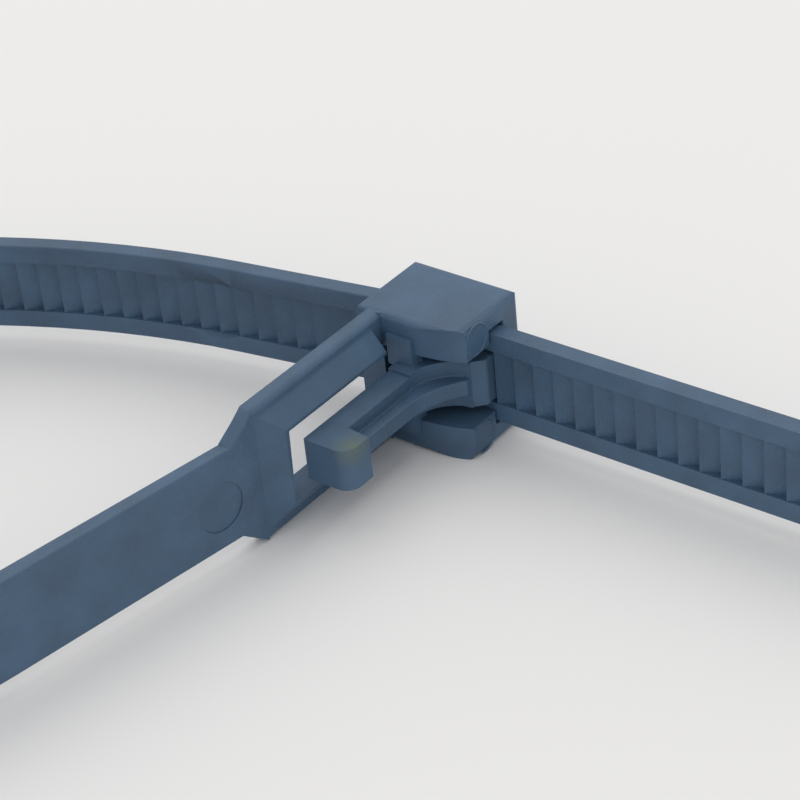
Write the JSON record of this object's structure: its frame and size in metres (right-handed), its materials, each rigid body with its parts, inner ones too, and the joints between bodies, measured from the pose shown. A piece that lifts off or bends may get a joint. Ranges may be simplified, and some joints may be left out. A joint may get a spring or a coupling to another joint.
{
  "type": "releasable cable tie",
  "caption": "Releasable moulded plastic cable tie closed into a loop, with a toothed strap, a slotted head, a window frame and a thumb lever.",
  "frame": {"origin": "centre of the round part of the loop, at the middle of the strap's width", "axes": "+Z across the strap's width, along the axis of the held bundle; +X the way the tail is pulled through the head; the head lies at +X +Y"},
  "size_m": [0.1084, 0.0673, 0.0112],
  "materials": {
    "tie_plastic": "blue-grey injection-moulded nylon with a fine spark-eroded grain"
  },
  "bodies": {
    "root": {"cable_tie": "tie_plastic"}
  },
  "joints": []
}
